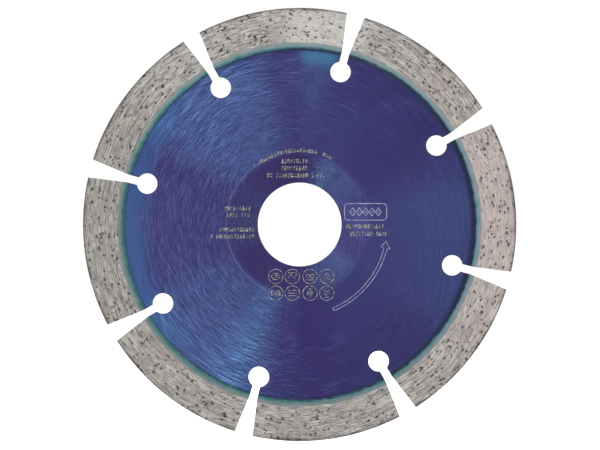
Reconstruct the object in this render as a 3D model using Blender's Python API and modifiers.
"""Segmented diamond blade for a small angle grinder, in metres with +Z up.

The blade's axis lies along Y, and its marked front face looks towards -Y. The
origin is the centre of the bore, midway through the blade's thickness.

A tempered steel core carries eight segments round its rim. A segment is a layer of
sintered metal and diamond on a foot of the same metal with no diamond in it, and a
laser weld that goes right through joins the foot to the core. Keyhole slots between
the segments let the core grow with heat and let air past the cut.
"""

import math

import bmesh
import bpy

# Driving dimensions, in metres and degrees
OUTSIDE_DIAMETER = 0.115
BORE_DIAMETER = 0.02223
CORE_THICKNESS = 0.0013
SEGMENT_THICKNESS = 0.0019
SEGMENT_COUNT = 8
FIRST_SLOT_DEGREES = 30.0

DIAMOND_LAYER_HEIGHT = 0.0092
FOOT_HEIGHT = 0.0011
WELD_WIDTH = 0.0005
WELD_CROWN = 0.0001
JOINT_GAP = 0.0001

SLOT_WIDTH = 0.00205
KEYHOLE_DIAMETER = 0.00545
KEYHOLE_DEPTH_BELOW_RIM = 0.0045
END_LEAN_DEGREES = 7.8

SEGMENT_EDGE_BREAK = 0.0001
WELD_EDGE_ROUND = 0.0001

# How finely the round shapes are divided
ARC_STEP_DEGREES = 2.5
KEYHOLE_SIDES = 32
BORE_SIDES = 96
ROUND_EDGE_ANGLE_DEGREES = 30.0
CUT_MARGIN = 0.001
WELD_DISTANCE = 0.000001

# Radii that follow from them, from the rim of the blade inwards
DIAMOND_OUTER_RADIUS = OUTSIDE_DIAMETER / 2
DIAMOND_INNER_RADIUS = DIAMOND_OUTER_RADIUS - DIAMOND_LAYER_HEIGHT
FOOT_OUTER_RADIUS = DIAMOND_INNER_RADIUS - JOINT_GAP
FOOT_INNER_RADIUS = FOOT_OUTER_RADIUS - FOOT_HEIGHT
WELD_OUTER_RADIUS = FOOT_INNER_RADIUS - JOINT_GAP
WELD_INNER_RADIUS = WELD_OUTER_RADIUS - WELD_WIDTH
CORE_RADIUS = WELD_INNER_RADIUS - JOINT_GAP
KEYHOLE_CENTRE_RADIUS = CORE_RADIUS - KEYHOLE_DEPTH_BELOW_RIM

SLOT_PITCH = 2 * math.pi / SEGMENT_COUNT
FIRST_SLOT_ANGLE = math.radians(FIRST_SLOT_DEGREES)


def clear_scene():
    """Remove every object, so that the blade starts from an empty scene."""
    for old in list(bpy.data.objects):
        bpy.data.objects.remove(old, do_unlink=True)


def new_collection(name):
    """Make a collection in the scene and return it."""
    collection = bpy.data.collections.new(name)
    bpy.context.scene.collection.children.link(collection)
    return collection


def finish(name, colour, roughness, metallic):
    """Make a plain material of one colour."""
    material = bpy.data.materials.new(name)
    material.use_nodes = True
    shader = material.node_tree.nodes["Principled BSDF"]
    shader.inputs["Base Color"].default_value = (*colour, 1.0)
    shader.inputs["Roughness"].default_value = roughness
    shader.inputs["Metallic"].default_value = metallic
    return material


def shade_round(mesh):
    """Shade a mesh smooth, and keep its real edges sharp."""
    mesh.shade_smooth()
    mesh.set_sharp_from_angle(angle=math.radians(ROUND_EDGE_ANGLE_DEGREES))


def place(name, mesh, collection, axis, turn):
    """Put a mesh that is modelled flat in XY on the blade's axis, turned by an angle."""
    piece = bpy.data.objects.new(name, mesh)
    piece.parent = axis
    piece.rotation_euler = (0.0, 0.0, turn)
    collection.objects.link(piece)
    return piece


def add_bevel(piece, width, segments):
    """Round or break the edges of a piece with a Bevel of a fixed width."""
    bevel = piece.modifiers.new("edge", "BEVEL")
    bevel.width = width
    bevel.segments = segments
    bevel.limit_method = "ANGLE"
    bevel.angle_limit = math.radians(ROUND_EDGE_ANGLE_DEGREES)
    bevel.use_clamp_overlap = True


def arc_points(radius, start, end):
    """Points along an arc about the axis, both ends included."""
    steps = max(2, math.ceil((end - start) / math.radians(ARC_STEP_DEGREES)))
    angles = [start + (end - start) * step / steps for step in range(steps + 1)]
    return [(radius * math.cos(angle), radius * math.sin(angle)) for angle in angles]


def slot_wall_angle(radius):
    """Angle between a slot's centreline and its straight wall, at a radius."""
    return math.asin(SLOT_WIDTH / 2 / radius)


def end_face_angle(radius):
    """Angle between a slot's centreline and a segment's end face, at a radius.

    The end face starts level with the slot's wall on the foot's inner radius, and leans
    away from the slot. Its line is crossed with the circle of the radius asked for.
    """
    across = SLOT_WIDTH / 2
    along = math.sqrt(FOOT_INNER_RADIUS ** 2 - across ** 2)
    lean = math.radians(END_LEAN_DEGREES)
    rise = along * math.cos(lean) + across * math.sin(lean)
    reach = math.sqrt(rise ** 2 + radius ** 2 - FOOT_INNER_RADIUS ** 2) - rise
    return math.asin((across + reach * math.sin(lean)) / radius)


def sector_outline(inner_radius, outer_radius, free_angle):
    """Outline of a piece that spans from one slot to the next, between two radii.

    free_angle gives the angle that stays free beside a slot's centreline, at a radius.
    """
    inner_free = free_angle(inner_radius)
    outer_free = free_angle(outer_radius)
    inner = arc_points(inner_radius, inner_free, SLOT_PITCH - inner_free)
    outer = arc_points(outer_radius, outer_free, SLOT_PITCH - outer_free)
    return inner + outer[::-1]


def plate_mesh(name, outline, thickness):
    """Mesh of a flat plate: a filled 2D curve with an extrude of half its thickness."""
    curve = bpy.data.curves.new(name, "CURVE")
    curve.dimensions = "2D"
    curve.fill_mode = "BOTH"
    curve.extrude = thickness / 2
    spline = curve.splines.new("POLY")
    spline.points.add(len(outline) - 1)
    for point, (x, y) in zip(spline.points, outline):
        point.co = (x, y, 0.0, 1.0)
    spline.use_cyclic_u = True

    holder = bpy.data.objects.new(name + "_outline", curve)
    bpy.context.scene.collection.objects.link(holder)
    evaluated = holder.evaluated_get(bpy.context.evaluated_depsgraph_get())
    mesh = bpy.data.meshes.new_from_object(evaluated)
    mesh.name = name
    bpy.data.objects.remove(holder, do_unlink=True)

    plate = bmesh.new()
    plate.from_mesh(mesh)
    bmesh.ops.remove_doubles(plate, verts=plate.verts, dist=WELD_DISTANCE)
    bmesh.ops.dissolve_limit(
        plate, angle_limit=math.radians(0.5), verts=plate.verts, edges=plate.edges
    )
    plate.to_mesh(mesh)
    plate.free()
    shade_round(mesh)
    return mesh


def cylinder_mesh(name, radius, depth, sides):
    """Mesh of a closed cylinder about Z."""
    mesh = bpy.data.meshes.new(name)
    cylinder = bmesh.new()
    bmesh.ops.create_cone(
        cylinder, cap_ends=True, segments=sides, radius1=radius, radius2=radius, depth=depth
    )
    cylinder.to_mesh(mesh)
    cylinder.free()
    shade_round(mesh)
    return mesh


def box_mesh(name, length, width, depth):
    """Mesh of a box that starts at the origin and runs along X, centred on Y and Z."""
    mesh = bpy.data.meshes.new(name)
    box = bmesh.new()
    bmesh.ops.create_cube(box, size=1.0)
    bmesh.ops.scale(box, vec=(length, width, depth), verts=box.verts)
    bmesh.ops.translate(box, vec=(length / 2, 0.0, 0.0), verts=box.verts)
    box.to_mesh(mesh)
    box.free()
    return mesh


def add_cutter(name, mesh, cutters, axis, turn, reach):
    """Place a cutter at a distance from the axis, hidden from renders."""
    cutter = place(name, mesh, cutters, axis, turn)
    cutter.location = (reach * math.cos(turn), reach * math.sin(turn), 0.0)
    cutter.display_type = "WIRE"
    cutter.hide_render = True


def make_steel_core(blade, cutters, axis):
    """The thin round plate, with its bore and one keyhole slot between segments."""
    cut_depth = CORE_THICKNESS + 2 * CUT_MARGIN
    slot_length = KEYHOLE_DEPTH_BELOW_RIM + CUT_MARGIN

    bore = cylinder_mesh("bore_cutter", BORE_DIAMETER / 2, cut_depth, BORE_SIDES)
    keyhole = cylinder_mesh("keyhole_cutter", KEYHOLE_DIAMETER / 2, cut_depth, KEYHOLE_SIDES)
    slot = box_mesh("slot_cutter", slot_length, SLOT_WIDTH, cut_depth)

    add_cutter("bore_cutter", bore, cutters, axis, 0.0, 0.0)
    for number in range(1, SEGMENT_COUNT + 1):
        turn = FIRST_SLOT_ANGLE + (number - 1) * SLOT_PITCH
        add_cutter(f"keyhole_cutter_{number}", keyhole, cutters, axis, turn, KEYHOLE_CENTRE_RADIUS)
        add_cutter(f"slot_cutter_{number}", slot, cutters, axis, turn, KEYHOLE_CENTRE_RADIUS)

    rim_sides = round(360 / ARC_STEP_DEGREES)
    blank = cylinder_mesh("steel_core", CORE_RADIUS, CORE_THICKNESS, rim_sides)
    blank.materials.append(finish("blue_lacquered_steel", (0.055, 0.065, 0.22), 0.35, 0.8))
    core = place("steel_core", blank, blade, axis, 0.0)
    cut = core.modifiers.new("bore_and_slots", "BOOLEAN")
    cut.operation = "DIFFERENCE"
    cut.solver = "EXACT"
    cut.operand_type = "COLLECTION"
    cut.collection = cutters


def make_ring_of_plates(name, blade, axis, outline, thickness, material, edge, edge_segments):
    """One flat plate between each pair of slots, all from the same mesh."""
    mesh = plate_mesh(name, outline, thickness)
    mesh.materials.append(material)
    for number in range(1, SEGMENT_COUNT + 1):
        turn = FIRST_SLOT_ANGLE + (number - 1) * SLOT_PITCH
        plate = place(f"{name}_{number}", mesh, blade, axis, turn)
        if edge:
            add_bevel(plate, edge, edge_segments)


def make_weld_seams(blade, axis):
    """The laser weld between the core's rim and each foot, a little proud of the core."""
    outline = sector_outline(WELD_INNER_RADIUS, WELD_OUTER_RADIUS, slot_wall_angle)
    metal = finish("weld_metal", (0.035, 0.075, 0.12), 0.45, 0.9)
    thickness = CORE_THICKNESS + 2 * WELD_CROWN
    make_ring_of_plates("weld_seam", blade, axis, outline, thickness, metal, WELD_EDGE_ROUND, 2)


def make_segment_feet(blade, axis):
    """The part of each segment that has no diamond in it, so that it can be welded."""
    outline = sector_outline(FOOT_INNER_RADIUS, FOOT_OUTER_RADIUS, end_face_angle)
    metal = finish("teal_tinted_sintered_metal", (0.085, 0.19, 0.22), 0.45, 0.8)
    make_ring_of_plates("segment_foot", blade, axis, outline, SEGMENT_THICKNESS, metal, 0.0, 1)


def make_diamond_segments(blade, axis):
    """The cutting layer of each segment, with the edges that its grinding breaks."""
    outline = sector_outline(DIAMOND_INNER_RADIUS, DIAMOND_OUTER_RADIUS, end_face_angle)
    metal = finish("diamond_matrix", (0.38, 0.36, 0.33), 0.5, 0.8)
    make_ring_of_plates(
        "diamond_segment", blade, axis, outline, SEGMENT_THICKNESS, metal, SEGMENT_EDGE_BREAK, 1
    )


def make_blade():
    """Put the whole blade together on an axis that points to its front, along -Y."""
    clear_scene()
    blade = new_collection("diamond_blade")
    cutters = new_collection("cutters")
    axis = bpy.data.objects.new("blade_axis", None)
    axis.rotation_euler = (math.pi / 2, 0.0, 0.0)
    blade.objects.link(axis)

    make_steel_core(blade, cutters, axis)
    make_weld_seams(blade, axis)
    make_segment_feet(blade, axis)
    make_diamond_segments(blade, axis)
    bpy.context.view_layer.update()


make_blade()
